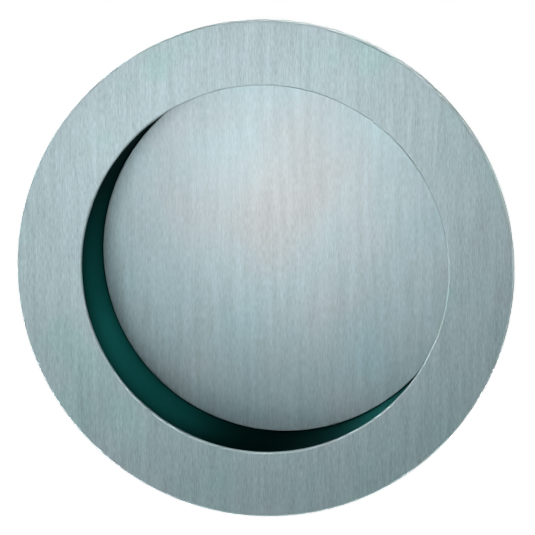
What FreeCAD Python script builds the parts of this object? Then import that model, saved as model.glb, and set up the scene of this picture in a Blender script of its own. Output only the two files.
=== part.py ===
# Round flush pull for a pocket door: a flat steel face ring, a dark cup let into the door,
# and a flat steel disc that floors the cup.
# The pull's axis is Y. The ring's back lies on the door's face at Y = 0, the ring faces -Y,
# the cup runs back into the door along +Y, and +Z is up. Lengths are in millimetres.
import FreeCAD
import Part
import Sketcher
import os

# Driving dimensions
SIZES = {
    "opening_diameter": 37.0,
    "face_width": 6.5,
    "face_thickness": 2.0,
    "lip_thickness": 0.6,
    "rim_rounding": 0.15,
    "opening_break": 0.15,
    "back_break": 0.2,
    "bore_undercut": 0.25,
    "barrel_wall": 1.75,
    "barrel_length": 16.0,
    "bottom_thickness": 1.5,
    "shoulder_width": 0.55,
    "seat_clearance": 0.05,
    "mouth_relief": 0.1,
    "spigot_break": 0.2,
    "lead_in": 1.0,
    "groove_count": 3,
    "groove_width": 1.2,
    "groove_depth": 0.4,
    "disc_thickness": 1.0,
    "disc_gap": 0.1,
    "disc_break": 0.1,
}

# Radii and heights that follow from the driving dimensions
OPENING_RADIUS = "sizes.opening_diameter / 2"
FACE_RADIUS = f"({OPENING_RADIUS} + sizes.face_width)"
BORE_RADIUS = f"({OPENING_RADIUS} + sizes.bore_undercut)"
BARREL_RADIUS = f"({BORE_RADIUS} + sizes.barrel_wall)"
SPIGOT_RADIUS = f"({BARREL_RADIUS} - sizes.shoulder_width)"
SEAT_RADIUS = f"({SPIGOT_RADIUS} + sizes.seat_clearance)"
SEAT_DEPTH = "(sizes.face_thickness - sizes.lip_thickness)"
MOUTH_CHAMFER = f"({BARREL_RADIUS} + sizes.mouth_relief - {SEAT_RADIUS})"
CUP_FLOOR = "(sizes.barrel_length - sizes.bottom_thickness)"
DISC_RADIUS = f"({BORE_RADIUS} - sizes.disc_gap)"
GROOVE_PITCH = "(sizes.barrel_length - sizes.lead_in) / (sizes.groove_count + 1)"

TOLERANCE = 1e-4

# A sketch's own origin, as the number of its geometry and of the point on it
ORIGIN = (-1, 1)

doc = FreeCAD.newDocument("flush_pull")
sheet = doc.addObject("Spreadsheet::Sheet", "sizes")


def fill_sheet():
    for row, (alias, number) in enumerate(SIZES.items(), start=1):
        sheet.set(f"A{row}", alias)
        sheet.set(f"B{row}", str(number))
        sheet.setAlias(f"B{row}", alias)
    doc.recompute()


def value(expression):
    return float(sheet.evalExpression(expression))


def new_body(label):
    body = doc.addObject("PartDesign::Body", label)
    body.Label = label
    body.Placement = FreeCAD.Placement()
    return body


def new_sketch(body, name, role):
    plane = next(item for item in body.Origin.OriginFeatures if item.Role == role)
    sketch = body.newObject("Sketcher::SketchObject", name)
    sketch.AttachmentSupport = [(plane, "")]
    sketch.MapMode = "FlatFace"
    return sketch


def add_circle(sketch, name, radius):
    circle = Part.Circle(FreeCAD.Vector(), FreeCAD.Vector(0, 0, 1), value(radius))
    index = sketch.addGeometry(circle, False)
    sketch.addConstraint(Sketcher.Constraint("Coincident", index, 3, *ORIGIN))
    bind(sketch, name, radius, Sketcher.Constraint("Radius", index, value(radius)))


def bind(sketch, name, expression, constraint):
    index = sketch.addConstraint(constraint)
    sketch.renameConstraint(index, name)
    sketch.setExpression(f"Constraints.{name}", expression)


def add_outline(sketch, corners):
    # A closed outline: each corner has a radius from the pull's axis and a depth from the door's face.
    points = [FreeCAD.Vector(value(radius), value(depth), 0) for radius, depth in corners]
    for index, point in enumerate(points):
        line = Part.LineSegment(point, points[(index + 1) % len(points)])
        sketch.addGeometry(line, False)
    for index, (radius, depth) in enumerate(corners):
        following = (index + 1) % len(points)
        sketch.addConstraint(Sketcher.Constraint("Coincident", index, 2, following, 1))
        place_corner(sketch, index, radius, depth)


def place_corner(sketch, index, radius, depth):
    if value(radius) == 0:
        # -2 is the sketch's upright axis, here the pull's axis
        sketch.addConstraint(Sketcher.Constraint("PointOnObject", index, 1, -2))
    else:
        distance = Sketcher.Constraint("DistanceX", *ORIGIN, index, 1, value(radius))
        bind(sketch, f"radius_{index}", radius, distance)
    distance = Sketcher.Constraint("DistanceY", *ORIGIN, index, 1, value(depth))
    bind(sketch, f"depth_{index}", depth, distance)


def circle_edges(shape, radius, depth):
    names = []
    for number, edge in enumerate(shape.Edges, start=1):
        curve = edge.Curve
        if not isinstance(curve, Part.Circle):
            continue
        if abs(curve.Radius - value(radius)) < TOLERANCE and abs(curve.Center.y - value(depth)) < TOLERANCE:
            names.append(f"Edge{number}")
    if not names:
        raise ValueError(f"no circle of radius {radius} at depth {depth}")
    return names


def ease_edge(body, kind, name, radius, depth, size):
    doc.recompute()
    base = body.Tip
    feature = body.newObject(f"PartDesign::{kind}", name)
    feature.Base = (base, circle_edges(base.Shape, radius, depth))
    feature.setExpression("Radius" if kind == "Fillet" else "Size", size)
    check_cut(base, feature)


def check_cut(before, after):
    doc.recompute()
    if after.Shape.Volume >= before.Shape.Volume:
        raise ValueError(f"{after.Name} removes nothing")


def make_face_ring():
    # A flat ring turned from plate. Its bore is stepped: a thin lip round the opening, and behind it
    # the seat that takes the cup's spigot. The seat's mouth is chamfered a little wider than the barrel,
    # so the ring's flat back starts clear of it and the chamfer holds a fillet of adhesive.
    body = new_body("face_ring")
    front = "-sizes.face_thickness"

    blank_sketch = new_sketch(body, "ring_blank_outline", "XZ_Plane")
    add_circle(blank_sketch, "rim", FACE_RADIUS)
    add_circle(blank_sketch, "opening", OPENING_RADIUS)
    blank = body.newObject("PartDesign::Pad", "ring_blank")
    blank.Profile = blank_sketch
    blank.setExpression("Length", "sizes.face_thickness")
    doc.recompute()

    seat_sketch = new_sketch(body, "spigot_seat_outline", "XZ_Plane")
    add_circle(seat_sketch, "seat", SEAT_RADIUS)
    seat = body.newObject("PartDesign::Pocket", "spigot_seat")
    seat.Profile = seat_sketch
    seat.Reversed = True
    seat.setExpression("Length", SEAT_DEPTH)
    check_cut(blank, seat)

    ease_edge(body, "Fillet", "rounded_rim", FACE_RADIUS, front, "sizes.rim_rounding")
    ease_edge(body, "Chamfer", "broken_opening", OPENING_RADIUS, front, "sizes.opening_break")
    ease_edge(body, "Chamfer", "broken_back", FACE_RADIUS, "0", "sizes.back_break")
    ease_edge(body, "Chamfer", "seat_mouth", SEAT_RADIUS, "0", MOUTH_CHAMFER)
    return body


def make_recess_cup():
    # A cup with a plain round bore. Its spigot enters the ring's seat and stops against the lip, its
    # shoulder lies level with the ring's back, and its barrel fills the door's hole.
    # Shallow grooves round the barrel hold the adhesive.
    body = new_body("recess_cup")
    spigot_end = f"-{SEAT_DEPTH}"

    wall_sketch = new_sketch(body, "cup_section", "XY_Plane")
    add_outline(wall_sketch, [
        ("0", "sizes.barrel_length"),
        (BARREL_RADIUS, "sizes.barrel_length"),
        (BARREL_RADIUS, "0"),
        (SPIGOT_RADIUS, "0"),
        (SPIGOT_RADIUS, spigot_end),
        (BORE_RADIUS, spigot_end),
        (BORE_RADIUS, CUP_FLOOR),
        ("0", CUP_FLOOR),
    ])
    wall = body.newObject("PartDesign::Revolution", "cup_wall")
    wall.Profile = wall_sketch
    wall.ReferenceAxis = (wall_sketch, ["V_Axis"])
    wall.Angle = 360
    doc.recompute()

    ease_edge(body, "Chamfer", "lead_in", BARREL_RADIUS, "sizes.barrel_length", "sizes.lead_in")
    ease_edge(body, "Chamfer", "spigot_lead_in", SPIGOT_RADIUS, spigot_end, "sizes.spigot_break")
    add_glue_grooves(body)
    return body


def add_glue_grooves(body):
    plain = body.Tip
    bottom = f"({BARREL_RADIUS} - sizes.groove_depth)"
    top = f"({BARREL_RADIUS} + sizes.groove_depth)"
    near = f"({GROOVE_PITCH} - sizes.groove_width / 2)"
    far = f"({GROOVE_PITCH} + sizes.groove_width / 2)"
    sketch = new_sketch(body, "glue_groove_section", "XY_Plane")
    add_outline(sketch, [(bottom, near), (top, near), (top, far), (bottom, far)])
    groove = body.newObject("PartDesign::Groove", "glue_groove")
    groove.Profile = sketch
    groove.ReferenceAxis = (sketch, ["V_Axis"])
    groove.Angle = 360
    check_cut(plain, groove)

    pattern = body.newObject("PartDesign::LinearPattern", "glue_grooves")
    pattern.Originals = [groove]
    pattern.Direction = (sketch, ["V_Axis"])
    pattern.setExpression("Occurrences", "sizes.groove_count")
    pattern.setExpression("Length", f"{GROOVE_PITCH} * (sizes.groove_count - 1)")
    body.Tip = pattern
    check_cut(groove, pattern)


def make_floor_disc():
    # A flat disc laid on the cup's bottom, with a hairline gap all round.
    body = new_body("floor_disc")
    sketch = new_sketch(body, "disc_outline", "XZ_Plane")
    sketch.setExpression("AttachmentOffset.Base.z", f"-{CUP_FLOOR}")
    add_circle(sketch, "edge", DISC_RADIUS)
    disc = body.newObject("PartDesign::Pad", "disc_blank")
    disc.Profile = sketch
    disc.setExpression("Length", "sizes.disc_thickness")
    front = f"{CUP_FLOOR} - sizes.disc_thickness"
    ease_edge(body, "Chamfer", "broken_edge", DISC_RADIUS, front, "sizes.disc_break")
    return body


def check_document(bodies):
    doc.recompute()
    for item in doc.Objects:
        if "Invalid" in item.State or "Error" in item.State:
            raise ValueError(f"{item.Name} failed: {item.State}")
    for body in bodies:
        if body.Shape.isNull() or not body.Shape.isValid() or len(body.Shape.Solids) != 1:
            raise ValueError(f"{body.Label} isn't one valid solid")


def write_parts(bodies):
    os.makedirs("parts", exist_ok=True)
    for body in bodies:
        body.Shape.exportStep(f"parts/{body.Label}.step")
        bounds = body.Shape.optimalBoundingBox()
        print(
            f"{body.Label}: volume {body.Shape.Volume:.1f}, X {bounds.XMin:.2f} to {bounds.XMax:.2f},"
            f" Y {bounds.YMin:.2f} to {bounds.YMax:.2f}, Z {bounds.ZMin:.2f} to {bounds.ZMax:.2f}"
        )


fill_sheet()
parts = [make_face_ring(), make_recess_cup(), make_floor_disc()]
check_document(parts)
write_parts(parts)
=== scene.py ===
# Looks of a round flush pull: satin steel face ring, dark cup and satin steel floor disc.
# Metres, +Z up, the ring faces -Y and the cup runs back along +Y. Only the sizes of the three
# pieces are in millimetres, as distances from the pull's axis and depths along it.
import bpy
import math
import numpy as np
from mathutils import Matrix, Vector


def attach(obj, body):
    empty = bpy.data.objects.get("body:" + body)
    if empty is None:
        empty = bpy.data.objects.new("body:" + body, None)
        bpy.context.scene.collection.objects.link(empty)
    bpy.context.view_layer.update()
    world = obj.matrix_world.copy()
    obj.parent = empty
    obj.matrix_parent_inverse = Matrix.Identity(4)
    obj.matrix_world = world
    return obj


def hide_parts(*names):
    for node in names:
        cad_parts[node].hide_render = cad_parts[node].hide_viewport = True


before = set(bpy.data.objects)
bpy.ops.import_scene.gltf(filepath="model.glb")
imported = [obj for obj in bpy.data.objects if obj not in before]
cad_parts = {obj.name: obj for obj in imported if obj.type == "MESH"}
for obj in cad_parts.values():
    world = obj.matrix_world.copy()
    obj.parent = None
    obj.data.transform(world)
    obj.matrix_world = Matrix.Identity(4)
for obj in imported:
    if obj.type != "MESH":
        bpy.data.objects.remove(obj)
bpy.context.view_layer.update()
print("frame loaded:", ", ".join(sorted(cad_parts)))

mm = 0.001


# Turned shapes

def easedOutline(corners, easing, steps, guard):
    # Rounds every inner corner of an outline of (radius, depth) points.
    # With a and b the unit vectors from a corner to its neighbours and w the angle between them,
    # the arc of radius e starts at corner + a e / tan(w / 2) and has its centre at
    # corner + (a + b) / |a + b| * e / sin(w / 2). Its points are spread evenly over its span of pi - w.
    # A guard point just outside each end of the arc keeps the flats beside it flat in shading.
    middle = corners[1:-1]
    back = corners[:-2] - middle
    ahead = corners[2:] - middle
    back = back / np.linalg.norm(back, axis=1, keepdims=True)
    ahead = ahead / np.linalg.norm(ahead, axis=1, keepdims=True)
    angle = np.arccos(np.sum(back * ahead, axis=1))[:, None]
    reach = easing[:, None] / np.tan(angle / 2)
    bisector = (back + ahead) / np.linalg.norm(back + ahead, axis=1, keepdims=True)
    centre = middle + bisector * easing[:, None] / np.sin(angle / 2)
    first = (middle + back * reach - centre)[:, None, :]
    last = (middle + ahead * reach - centre)[:, None, :]
    span = (math.pi - angle)[:, :, None]
    share = np.linspace(0, 1, steps)[None, :, None]
    arc = (np.sin((1 - share) * span) * first + np.sin(share * span) * last) / np.sin(span)
    before = (middle + back * (reach + guard))[:, None, :]
    after = (middle + ahead * (reach + guard))[:, None, :]
    return np.concatenate([before, centre[:, None, :] + arc, after], axis=1).reshape(-1, 2)


def turnedGrid(outline, segments):
    # An outline point (r, y) at the angle t goes to (r cos t, y, r sin t).
    turn = np.linspace(0, 2 * math.pi, segments + 1)
    radius = outline[:, 0:1]
    depth = outline[:, 1:2]
    return np.stack([radius * np.cos(turn), depth + 0 * turn, radius * np.sin(turn)], axis=-1)


def grainMaps(grid, outline):
    # u runs across the grain and v along it, in metres. On a turned face the grain runs round the
    # axis: u is the length along the outline, and v is the arc r t, folded at half a turn so that
    # it meets itself at the seam. On a brushed face the grain is upright: (u, v) = (x, z).
    step = np.linalg.norm(np.diff(outline, axis=0), axis=1)
    length = np.concatenate([[0], np.cumsum(step)])
    turn = np.linspace(0, 2 * math.pi, grid.shape[1])
    arc = outline[:, 0:1] * (math.pi - np.abs(turn - math.pi))
    turned = np.stack([length[:, None] + 0 * turn, arc], axis=-1)
    brushed = grid[..., (0, 2)]
    return turned, brushed


def quadCorners(grid):
    # The corners of every quad of a grid, in the order that turns its front outwards
    return np.stack([grid[:-1, :-1], grid[:-1, 1:], grid[1:, 1:], grid[1:, :-1]], axis=2)


def turnedPiece(name, outline, segments, closed, brushedDepth=None):
    # Turns an outline into a closed mesh. A closed outline gives a ring, and an open one starts
    # and ends on the axis, where each end is one point. The face at brushedDepth is brushed.
    grid = turnedGrid(outline, segments)
    rows = len(outline)
    count = (rows - 1 if closed else rows) * segments
    index = np.arange(rows * segments).reshape(rows, segments) % count
    index = np.concatenate([index, index[:, :1]], axis=1)
    faces = quadCorners(index).reshape(-1, 4)
    points = grid[:, :-1].reshape(-1, 3)[:count]
    if not closed:
        faces, points = poleFaces(faces, points, segments)
    flat = np.zeros(rows - 1, bool)
    if brushedDepth is not None:
        level = np.isclose(outline[:, 1], brushedDepth)
        flat = level[:-1] & level[1:]
    turned, brushed = grainMaps(grid, outline)
    grain = np.where(flat[:, None, None, None], quadCorners(brushed), quadCorners(turned))
    return newPiece(name, points, faces, grain.reshape(-1, 4, 2))


def poleFaces(faces, points, segments):
    # The first and the last row lie on the axis: each row becomes its first point,
    # and the quads beside it become triangles, marked by a -1 for the corner that goes.
    lastRow = len(points) - segments
    faces = faces.copy()
    faces[:segments, 0] = 0
    faces[:segments, 1] = -1
    faces[-segments:, 2] = -1
    faces[-segments:, 3] = lastRow
    keep = np.zeros(len(points), bool)
    keep[segments:lastRow] = True
    keep[[0, lastRow]] = True
    renumber = np.cumsum(keep) - 1
    return np.where(faces >= 0, renumber[faces], -1), points[keep]


def newPiece(name, points, faces, grain):
    # Puts the arrays into a mesh, leaving out every corner that is marked by a -1
    kept = faces >= 0
    corners = kept.sum(axis=1)
    mesh = bpy.data.meshes.new(name)
    mesh.vertices.add(len(points))
    mesh.vertices.foreach_set("co", points.astype(np.float32).ravel())
    mesh.loops.add(int(corners.sum()))
    mesh.loops.foreach_set("vertex_index", faces[kept].astype(np.int32))
    mesh.polygons.add(len(faces))
    mesh.polygons.foreach_set("loop_start", (np.cumsum(corners) - corners).astype(np.int32))
    mesh.update(calc_edges=True)
    uv = mesh.uv_layers.new(name="grain")
    uv.data.foreach_set("uv", grain[kept].astype(np.float32).ravel())
    mesh.polygons.foreach_set("use_smooth", np.ones(len(faces), bool))
    mesh.update()
    piece = bpy.data.objects.new(name, mesh)
    bpy.context.scene.collection.objects.link(piece)
    return piece


def wear(piece, material, node):
    piece.data.materials.append(material)
    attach(piece, "root")
    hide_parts(node)


# Node helpers

noiseRange = (0.3, 0.7)  # nearly all values of a noise lie in it


def feed(tree, value, socket):
    # Links another node's output to the socket, or sets the socket to a plain number or colour
    if isinstance(value, bpy.types.NodeSocket):
        tree.links.new(value, socket)
    elif socket.type == "RGBA":
        socket.default_value = (*value, 1)
    else:
        socket.default_value = value


def addNode(tree, kind, **values):
    # A name that isn't a setting of the node is one of its sockets
    node = tree.nodes.new(kind)
    for key, value in values.items():
        if hasattr(node, key):
            setattr(node, key, value)
        else:
            feed(tree, value, node.inputs[key])
    return node


def combine(tree, operation, first, second):
    node = addNode(tree, "ShaderNodeMath", operation=operation)
    feed(tree, first, node.inputs[0])
    feed(tree, second, node.inputs[1])
    return node.outputs["Value"]


def mixColour(tree, share, first, second, blend="MIX"):
    # A Mix node has its two colours on the inputs 6 and 7, and the mixed colour on the output 2
    node = addNode(tree, "ShaderNodeMix", data_type="RGBA", blend_type=blend, Factor=share)
    feed(tree, first, node.inputs[6])
    feed(tree, second, node.inputs[7])
    return node.outputs[2]


def spreadValue(tree, value, low, high, source=noiseRange):
    # Carries the range source over to the range from low to high, and holds its ends
    node = addNode(tree, "ShaderNodeMapRange", Value=value)
    node.inputs["From Min"].default_value = source[0]
    node.inputs["From Max"].default_value = source[1]
    node.inputs["To Min"].default_value = low
    node.inputs["To Max"].default_value = high
    return node.outputs["Result"]


def addBump(tree, shader, height):
    # The height is in metres
    bump = addNode(tree, "ShaderNodeBump", Strength=1.0, Distance=1.0, Height=height)
    feed(tree, bump.outputs["Normal"], shader.inputs["Normal"])


def emptyTree(owner):
    owner.use_nodes = True
    owner.node_tree.nodes.clear()
    return owner.node_tree


def newMaterial(name):
    material = bpy.data.materials.new(name)
    tree = emptyTree(material)
    shader = addNode(tree, "ShaderNodeBsdfPrincipled")
    addNode(tree, "ShaderNodeOutputMaterial", Surface=shader.outputs["BSDF"])
    return material, tree, shader


def newGroup(name, inputs, output):
    tree = bpy.data.node_groups.new(name, "ShaderNodeTree")
    for label in inputs:
        tree.interface.new_socket(label, in_out="INPUT", socket_type="NodeSocketFloat")
    tree.interface.new_socket(output, in_out="OUTPUT", socket_type="NodeSocketFloat")
    return tree, tree.nodes.new("NodeGroupInput"), tree.nodes.new("NodeGroupOutput")


def placeGroup(tree, group, **values):
    return addNode(tree, "ShaderNodeGroup", node_tree=group, **values).outputs[0]


def makeGrainGroup():
    # Streaks, narrow across the grain and long along it: noise at (u / width, v / length, offset)
    tree, given, result = newGroup("grainStreaks", ["Width", "Length", "Offset"], "Streaks")
    uv = addNode(tree, "ShaderNodeUVMap", uv_map="grain")
    grain = addNode(tree, "ShaderNodeSeparateXYZ", Vector=uv.outputs["UV"])
    across = combine(tree, "DIVIDE", grain.outputs["X"], given.outputs["Width"])
    along = combine(tree, "DIVIDE", grain.outputs["Y"], given.outputs["Length"])
    place = addNode(tree, "ShaderNodeCombineXYZ", X=across, Y=along, Z=given.outputs["Offset"])
    noise = addNode(tree, "ShaderNodeTexNoise", Vector=place.outputs["Vector"],
                    Scale=1.0, Detail=2.0, Roughness=0.55)
    feed(tree, noise.outputs["Fac"], result.inputs["Streaks"])
    return tree


def makePatchGroup():
    # Soft uneven patches, the same size in every direction: noise at (place / size, offset)
    tree, given, result = newGroup("softPatches", ["Size", "Offset"], "Patches")
    place = addNode(tree, "ShaderNodeTexCoord")
    scale = combine(tree, "DIVIDE", 1.0, given.outputs["Size"])
    noise = addNode(tree, "ShaderNodeTexNoise", noise_dimensions="4D", Vector=place.outputs["Object"],
                    W=given.outputs["Offset"], Scale=scale, Detail=2.0, Roughness=0.5)
    feed(tree, noise.outputs["Fac"], result.inputs["Patches"])
    return tree


grainGroup = makeGrainGroup()
patchGroup = makePatchGroup()
print("node groups made")


def makeSatinSteel(name, look):
    # Straight brushed steel: streaks of three sizes, faint tint patches, a stretched highlight
    material, tree, shader = newMaterial(name)
    broad = placeGroup(tree, grainGroup, Width=look["broadWidth"], Length=look["broadLength"],
                       Offset=look["offset"])
    fine = placeGroup(tree, grainGroup, Width=look["fineWidth"], Length=look["fineLength"],
                      Offset=look["offset"] + look["fineShift"])
    hair = placeGroup(tree, grainGroup, Width=look["hairWidth"], Length=look["hairLength"],
                      Offset=look["offset"] + look["hairShift"])
    patches = placeGroup(tree, patchGroup, Size=look["patchSize"], Offset=look["offset"])

    warmth = spreadValue(tree, patches, 0, 1, look["tintSpread"])
    tint = mixColour(tree, warmth, look["coolTint"], look["warmTint"])
    # A look with a highlight tint gets a painted highlight: a warmer tint round its bright centre
    if "highlightTint" in look:
        tint = addPaintedHighlight(tree, tint, patches, look)
    broadLines = spreadValue(tree, broad, -look["broadShade"], 0)
    fineLines = spreadValue(tree, fine, -look["fineShade"], 0)
    hairLines = spreadValue(tree, hair, 1 - look["hairShade"], 1)
    lines = combine(tree, "ADD", hairLines, combine(tree, "ADD", broadLines, fineLines))
    shade = mixColour(tree, lines, (0, 0, 0), (1, 1, 1))
    feed(tree, mixColour(tree, 1, tint, shade, "MULTIPLY"), shader.inputs["Base Color"])

    fineRoughness = spreadValue(tree, fine, look["roughLow"], look["roughHigh"])
    patchRoughness = spreadValue(tree, patches, -look["roughPatch"], look["roughPatch"])
    feed(tree, combine(tree, "ADD", fineRoughness, patchRoughness), shader.inputs["Roughness"])

    fineHeight = combine(tree, "MULTIPLY", fine, look["fineHeight"])
    broadHeight = combine(tree, "MULTIPLY", broad, look["broadHeight"])
    hairHeight = combine(tree, "MULTIPLY", hair, look["hairHeight"])
    addBump(tree, shader, combine(tree, "ADD", fineHeight, combine(tree, "ADD", broadHeight, hairHeight)))

    shader.inputs["Metallic"].default_value = 1
    shader.inputs["Anisotropic"].default_value = look["stretch"]
    tangent = addNode(tree, "ShaderNodeTangent", direction_type="UV_MAP", uv_map="grain")
    feed(tree, tangent.outputs["Tangent"], shader.inputs["Tangent"])
    return material


def addPaintedHighlight(tree, tint, patches, look):
    # Painted highlight: a warmer tint round the point where the disc's highlight falls, a little more or less
    # of it from patch to patch
    place = addNode(tree, "ShaderNodeTexCoord")
    away = addNode(tree, "ShaderNodeVectorMath", operation="DISTANCE", Vector=place.outputs["Object"])
    away.inputs[1].default_value = look["highlightCentre"]
    near = spreadValue(tree, away.outputs["Value"], 1, 0, (0, look["highlightReach"]))
    glow = combine(tree, "MULTIPLY", near, spreadValue(tree, patches, *look["highlightUneven"]))
    return mixColour(tree, glow, tint, look["highlightTint"])


# Face ring

faceRing = {
    "openingRadius": 18.5, "faceRadius": 25.0, "front": -2.0, "back": 0.0,
    "openingBreak": 0.12, "backBreak": 0.2, "seatRadius": 20.0, "seatEnd": -1.4, "mouth": 0.6,
    "rimRounding": 0.15, "openingEasing": 0.13, "easing": 0.03, "guard": 0.03, "steps": 7, "segments": 384,
}

ringSteel = {
    "offset": 104.0, "fineShift": 7.3, "hairShift": 19.1, "patchSize": 0.007,
    "broadWidth": 0.0007, "broadLength": 0.010, "broadShade": 0.15, "broadHeight": 0.0000006,
    "fineWidth": 0.00018, "fineLength": 0.0026, "fineShade": 0.09, "fineHeight": 0.0000005,
    "hairWidth": 0.0001, "hairLength": 0.0007, "hairShade": 0.21, "hairHeight": 0.0000001,
    "coolTint": (0.397, 0.546, 0.548), "warmTint": (0.449, 0.5495, 0.572), "tintSpread": (0.3, 0.5),
    "roughLow": 0.36, "roughHigh": 0.40, "roughPatch": 0.01, "stretch": 0.3,
}


def makeFaceRing(ring):
    # The first two corners bound the opening's break, and the last one is the rim
    corners = np.array([
        (ring["openingRadius"] + ring["openingBreak"], ring["front"]),
        (ring["openingRadius"], ring["front"] + ring["openingBreak"]),
        (ring["openingRadius"], ring["seatEnd"]),
        (ring["seatRadius"], ring["seatEnd"]),
        (ring["seatRadius"], ring["back"] - ring["mouth"]),
        (ring["seatRadius"] + ring["mouth"], ring["back"]),
        (ring["faceRadius"] - ring["backBreak"], ring["back"]),
        (ring["faceRadius"], ring["back"] - ring["backBreak"]),
        (ring["faceRadius"], ring["front"]),
    ])
    easing = np.full(len(corners), ring["easing"])
    easing[:2] = ring["openingEasing"]
    easing[-1] = ring["rimRounding"]
    around = np.concatenate([corners[-1:], corners, corners[:1]])
    outline = easedOutline(around, easing, ring["steps"], ring["guard"]) * mm
    outline = np.concatenate([outline, outline[:1]])
    return turnedPiece("faceRing", outline, ring["segments"], True, ring["front"] * mm)


ringPiece = makeFaceRing(faceRing)
wear(ringPiece, makeSatinSteel("ringSatinSteel", ringSteel), "face_ring")
print("face ring made")

# Floor disc

floorDisc = {
    "radius": 18.65, "front": 13.5, "back": 14.5, "edgeBreak": 0.05,
    "easing": 0.02, "guard": 0.02, "steps": 5, "segments": 384,
}

# The disc is the ring's steel with lighter tints: painted light, which makes it brighter than the ring
discSteel = dict(
    ringSteel, offset=146.0, broadShade=0.11, fineShade=0.07, hairShade=0.20,
    coolTint=(0.508, 0.68, 0.718), warmTint=(0.576, 0.67, 0.694), tintSpread=(0.3, 0.7),
    # Painted highlight: the warmer tint round the disc's bright centre
    highlightTint=(0.655, 0.672, 0.679), highlightCentre=(0.0, 0.0135, 0.005), highlightReach=0.0138, highlightUneven=(0.75, 1.2),
)


def makeFloorDisc(disc):
    corners = np.array([
        (0, disc["front"]),
        (disc["radius"] - disc["edgeBreak"], disc["front"]),
        (disc["radius"], disc["front"] + disc["edgeBreak"]),
        (disc["radius"], disc["back"]),
        (0, disc["back"]),
    ])
    easing = np.full(len(corners) - 2, disc["easing"])
    outline = easedOutline(corners, easing, disc["steps"], disc["guard"])
    outline = np.concatenate([corners[:1], outline, corners[-1:]]) * mm
    # From the back to the front, as the cup's outline runs, so that the faces point outwards
    return turnedPiece("floorDisc", outline[::-1], disc["segments"], False, disc["front"] * mm)


discPiece = makeFloorDisc(floorDisc)
wear(discPiece, makeSatinSteel("floorSatinSteel", discSteel), "floor_disc")
print("floor disc made")

# Recess cup

recessCup = {
    "boreRadius": 18.75, "barrelRadius": 20.5, "spigotRadius": 19.95, "spigotEnd": -1.4, "spigotBreak": 0.2,
    "floor": 14.5, "end": 16.0, "leadIn": 1.0, "grooves": 3, "groovePitch": 3.75, "grooveWidth": 1.2,
    "grooveDepth": 0.4, "easing": 0.05, "guard": 0.025, "steps": 4, "segments": 320,
}

cupLacquer = {
    "deepTint": (0.0019, 0.0276, 0.0254), "paleTint": (0.0022, 0.0308, 0.0283), "patchSize": 0.008,
    "roughLow": 0.16, "roughHigh": 0.24, "metallic": 0.05, "edgeTint": (0.02, 0.12, 0.11),
    "lineWidth": 0.0003, "lineLength": 0.03, "lineHeight": 0.0000003, "offset": 53.0,
    "outerRadius": 0.0192, "outerDepth": 0.0148, "outerTint": (0.022, 0.05, 0.047), "outerMetallic": 0.8,
}


def makeRecessCup(cup):
    # Each groove goes in at its far side and comes out at its near side, the deepest groove first
    middle = cup["groovePitch"] * np.arange(cup["grooves"], 0, -1)[:, None]
    half = cup["grooveWidth"] / 2
    barrel = cup["barrelRadius"]
    bottom = barrel - cup["grooveDepth"]
    depth = middle + np.array([half, half, -half, -half])
    radius = np.broadcast_to([barrel, bottom, bottom, barrel], depth.shape)
    grooves = np.stack([radius, depth], axis=-1).reshape(-1, 2)
    outside = [
        (0, cup["end"]),
        (barrel - cup["leadIn"], cup["end"]),
        (barrel, cup["end"] - cup["leadIn"]),
    ]
    inside = [
        (barrel, 0),
        (cup["spigotRadius"], 0),
        (cup["spigotRadius"], cup["spigotEnd"] + cup["spigotBreak"]),
        (cup["spigotRadius"] - cup["spigotBreak"], cup["spigotEnd"]),
        (cup["boreRadius"], cup["spigotEnd"]),
        (cup["boreRadius"], cup["floor"]),
        (0, cup["floor"]),
    ]
    corners = np.concatenate([outside, grooves, inside])
    easing = np.full(len(corners) - 2, cup["easing"])
    outline = easedOutline(corners, easing, cup["steps"], cup["guard"])
    outline = np.concatenate([corners[:1], outline, corners[-1:]]) * mm
    return turnedPiece("recessCup", outline, cup["segments"], False)


def makeDarkLacquer(name, look):
    # Dark lacquer with faint turned lines. Its outside, past the middle of the wall or of the
    # bottom, is a little paler and reflects more.
    material, tree, shader = newMaterial(name)
    patches = placeGroup(tree, patchGroup, Size=look["patchSize"], Offset=look["offset"])
    lines = placeGroup(tree, grainGroup, Width=look["lineWidth"], Length=look["lineLength"],
                       Offset=look["offset"])
    coordinates = addNode(tree, "ShaderNodeTexCoord")
    place = addNode(tree, "ShaderNodeSeparateXYZ", Vector=coordinates.outputs["Object"])
    across = addNode(tree, "ShaderNodeCombineXYZ", X=place.outputs["X"], Z=place.outputs["Z"])
    radius = addNode(tree, "ShaderNodeVectorMath", operation="LENGTH", Vector=across.outputs["Vector"])
    pastWall = combine(tree, "GREATER_THAN", radius.outputs["Value"], look["outerRadius"])
    pastBottom = combine(tree, "GREATER_THAN", place.outputs["Y"], look["outerDepth"])
    outer = combine(tree, "MAXIMUM", pastWall, pastBottom)

    tint = mixColour(tree, spreadValue(tree, patches, 0, 1), look["deepTint"], look["paleTint"])
    feed(tree, mixColour(tree, outer, tint, look["outerTint"]), shader.inputs["Base Color"])
    metallic = spreadValue(tree, outer, look["metallic"], look["outerMetallic"], (0, 1))
    feed(tree, metallic, shader.inputs["Metallic"])
    feed(tree, spreadValue(tree, lines, look["roughLow"], look["roughHigh"]), shader.inputs["Roughness"])
    addBump(tree, shader, combine(tree, "MULTIPLY", lines, look["lineHeight"]))
    shader.inputs["Specular IOR Level"].default_value = 0
    shader.inputs["Specular Tint"].default_value = (*look["edgeTint"], 1)
    return material


cupPiece = makeRecessCup(recessCup)
wear(cupPiece, makeDarkLacquer("darkTealLacquer", cupLacquer), "recess_cup")
print("recess cup made")

# Stage: a pale floor well below the held pull, soft lamps and a white surround

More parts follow.
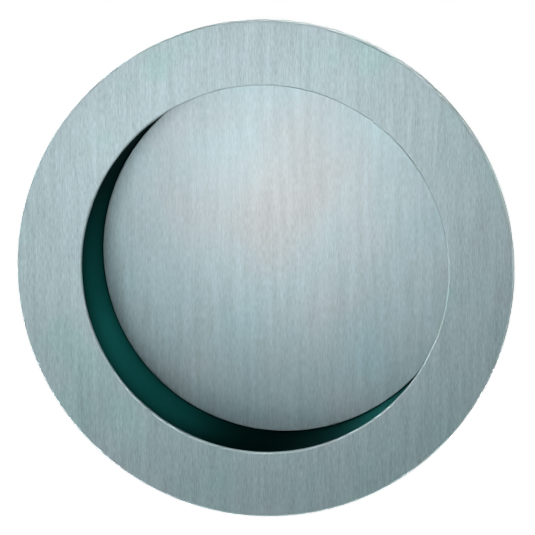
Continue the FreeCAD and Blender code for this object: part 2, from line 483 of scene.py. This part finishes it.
stage = {
    "floorHeight": -0.15, "floorRadius": 1.5, "floorSides": 64, "floorColour": (0.75, 0.75, 0.75),
    "nearGlow": 0.35, "shadowReach": 0.2, "whiteReach": 0.3, "glossGlow": 0.1, "ambient": 0.03,
    "surround": (0.75, 1.0, 1.02),
}

lamps = {
    "keyBox": {"place": (-0.022, -0.14, 0.0), "aim": (-0.022, 0, 0), "size": 0.025, "radiance": 8.1,
               "colour": (1.04, 1.0, 1.01)},
    "lowKeyBox": {"place": (-0.015, -0.14, -0.022), "aim": (-0.015, 0, -0.022), "size": 0.035,
                  "radiance": 1.05, "colour": (0.86, 1.0, 1.02)},
    "rightKeyBox": {"place": (0.008, -0.14, 0.022), "aim": (0.008, 0, 0.022), "size": 0.03,
                    "radiance": 2.3, "colour": (1.02, 1.0, 1.0)},
    "leftKeyBox": {"place": (-0.057, -0.14, -0.015), "aim": (-0.057, 0, -0.015), "size": 0.04,
                   "radiance": 0.52, "colour": (0.86, 1.0, 1.02)},
    "backBox": {"place": (-0.03, 0.35, 0.13), "aim": (0, 0, 0), "size": 0.22, "radiance": 1.7},
    "rightBackBox": {"place": (0.13, 0.35, -0.02), "aim": (0, 0, 0), "size": 0.2, "radiance": 0.8},
    "farRightBox": {"place": (0.24, 0.22, 0.1), "aim": (0, 0, 0), "size": 0.2, "radiance": 1.4},
    "farLeftBox": {"place": (-0.24, 0.22, 0.1), "aim": (0, 0, 0), "size": 0.2, "radiance": 2.0},
}

# Two rows of boxes round the pull, from the right by way of the top, that light only its steel.
# A row has its distance from the axis, its depth along it, the boxes' height and its share of the radiance.
edgeLight = {
    "rows": {"side": {"reach": 0.13, "depth": -0.028, "height": 0.056, "share": 0.9},
             "slant": {"reach": 0.11, "depth": -0.085, "height": 0.08, "share": 0.3}},
    "size": 0.09, "radiance": (2.0, 3.1, 3.3, 3.3, 3.5, 3.2, 3.4, 2.6),
}

# Strips in the recess that light only its wall: turn in degrees from the right by way of the bottom,
# distance from the axis as a share of the bore's radius, radiance
wallLight = {
    "depth": 0.008, "size": 0.002, "height": 0.014,
    "strips": {"right": (55, 0.8, 10.5), "bottomLeft": (120, 0.8, 3.1), "lowLeft": (132, 0.8, 3.2),
               "underLeft": (144, 0.8, 4.2), "left": (156, 0.8, 5.6), "midLeft": (168, 0.8, 2.3),
               "overLeft": (180, 0.8, 2.5), "highLeft": (192, 0.8, 1.1)},
}


def edgeLamps(values):
    found = {}
    for name, row in values["rows"].items():
        for number, radiance in enumerate(values["radiance"]):
            turn = math.radians(360 / len(values["radiance"]) * number)
            found[f"{name}Box{number}"] = {
                "place": (row["reach"] * math.cos(turn), row["depth"], row["reach"] * math.sin(turn)),
                "aim": (0, 0, 0), "up": (0, 1, 0), "size": values["size"], "height": row["height"],
                "radiance": row["share"] * radiance, "only": [ringPiece, discPiece],
            }
    return found


def wallLamps(values):
    found = {}
    wall = recessCup["boreRadius"] * mm
    for name, (degrees, share, radiance) in values["strips"].items():
        turn = math.radians(degrees)
        found[name + "Strip"] = {
            "place": (share * wall * math.cos(turn), values["depth"], -share * wall * math.sin(turn)),
            "aim": (wall * math.cos(turn), values["depth"], -wall * math.sin(turn)),
            "up": (0, 1, 0), "size": values["size"], "height": values["height"],
            "radiance": radiance, "only": [cupPiece],
        }
    return found


def backgroundShare(tree, rays, gloss):
    # The camera sees the background white. The metal reflects it at a lower level, which keeps its shading.
    through = combine(tree, "MAXIMUM", rays.outputs["Is Glossy Ray"], rays.outputs["Is Transmission Ray"])
    return combine(tree, "MAXIMUM", rays.outputs["Is Camera Ray"], combine(tree, "MULTIPLY", through, gloss))


def makeFloor(values):
    # One flat round face with its corners at (r cos t, r sin t, height)
    sides = values["floorSides"]
    turn = np.linspace(0, 2 * math.pi, sides + 1)[:-1]
    rim = values["floorRadius"] * np.stack([np.cos(turn), np.sin(turn)], axis=-1)
    points = np.concatenate([rim, np.full((sides, 1), values["floorHeight"])], axis=1)
    mesh = bpy.data.meshes.new("paleFloor")
    mesh.from_pydata(points.tolist(), [], [list(range(sides))])
    floor = bpy.data.objects.new("paleFloor", mesh)
    bpy.context.scene.collection.objects.link(floor)
    material = bpy.data.materials.new("paleFloor")
    mesh.materials.append(material)
    tree = emptyTree(material)
    diffuse = addNode(tree, "ShaderNodeBsdfDiffuse", Color=values["floorColour"])
    rays = addNode(tree, "ShaderNodeLightPath")
    colour = mixColour(tree, rays.outputs["Is Camera Ray"], values["surround"], (1, 1, 1))
    # Under the pull the floor glows less, so that it keeps the shadow
    place = addNode(tree, "ShaderNodeTexCoord")
    away = addNode(tree, "ShaderNodeVectorMath", operation="LENGTH", Vector=place.outputs["Object"])
    reach = (values["shadowReach"], values["whiteReach"])
    white = spreadValue(tree, away.outputs["Value"], values["nearGlow"], 1.0, reach)
    strength = combine(tree, "MULTIPLY", white, backgroundShare(tree, rays, values["glossGlow"]))
    glow = addNode(tree, "ShaderNodeEmission", Color=colour, Strength=strength)
    both = addNode(tree, "ShaderNodeAddShader")
    feed(tree, diffuse.outputs["BSDF"], both.inputs[0])
    feed(tree, glow.outputs["Emission"], both.inputs[1])
    addNode(tree, "ShaderNodeOutputMaterial", Surface=both.outputs["Shader"])


def makeWorld(values):
    world = bpy.data.worlds.new("whiteSurround")
    bpy.context.scene.world = world
    tree = emptyTree(world)
    rays = addNode(tree, "ShaderNodeLightPath")
    colour = mixColour(tree, rays.outputs["Is Camera Ray"], values["surround"], (1, 1, 1))
    strength = combine(tree, "MAXIMUM", backgroundShare(tree, rays, values["glossGlow"]), values["ambient"])
    background = addNode(tree, "ShaderNodeBackground", Color=colour, Strength=strength)
    addNode(tree, "ShaderNodeOutputWorld", Surface=background.outputs["Background"])


def makeLamps(values):
    for name, lamp in values.items():
        light = bpy.data.lights.new(name, "AREA")
        light.shape = "RECTANGLE"
        light.size = lamp["size"]
        light.size_y = lamp.get("height", lamp["size"])
        light.energy = lamp["radiance"] * math.pi * light.size * light.size_y
        light.color = lamp.get("colour", (1, 1, 1))
        item = bpy.data.objects.new(name, light)
        item.location = lamp["place"]
        # The lamp shines along its own -Z, and its height lies along "up"
        away = (Vector(lamp["place"]) - Vector(lamp["aim"])).normalized()
        side = Vector(lamp.get("up", (0, 0, 1))).cross(away).normalized()
        item.rotation_euler = Matrix((side, away.cross(side), away)).transposed().to_euler()
        item.visible_camera = False
        # Sampled only as a lamp: with linked lamps, counting its reflections as well
        # adds light that isn't there
        light.cycles.use_multiple_importance_sampling = False
        if "only" in lamp:
            lit = bpy.data.collections.new(name)
            for piece in lamp["only"]:
                lit.objects.link(piece)
            item.light_linking.receiver_collection = lit
        bpy.context.scene.collection.objects.link(item)


makeFloor(stage)
makeWorld(stage)
makeLamps({**lamps, **edgeLamps(edgeLight), **wallLamps(wallLight)})
print("stage made")

# Camera

cameraView = {
    "azimuth": 7.12, "elevation": 7.0, "distance": 0.5689, "aim": (0.000111, 0.0, -0.000002),
    "lens": 381.4, "sensor": 36, "near": 0.01, "far": 10,
}


def makeCamera(values):
    turn = math.radians(values["azimuth"])
    lift = math.radians(values["elevation"])
    away = Vector((math.sin(turn) * math.cos(lift), -math.cos(turn) * math.cos(lift), math.sin(lift)))
    data = bpy.data.cameras.new("camera")
    data.lens = values["lens"]
    data.sensor_width = values["sensor"]
    data.clip_start = values["near"]
    data.clip_end = values["far"]
    camera = bpy.data.objects.new("camera", data)
    camera.location = Vector(values["aim"]) + away * values["distance"]
    camera.rotation_mode = "QUATERNION"
    camera.rotation_quaternion = (-away).to_track_quat("-Z", "Y")
    bpy.context.scene.collection.objects.link(camera)
    bpy.context.scene.camera = camera


makeCamera(cameraView)
bpy.context.scene.view_settings.view_transform = "Standard"
print("camera made")
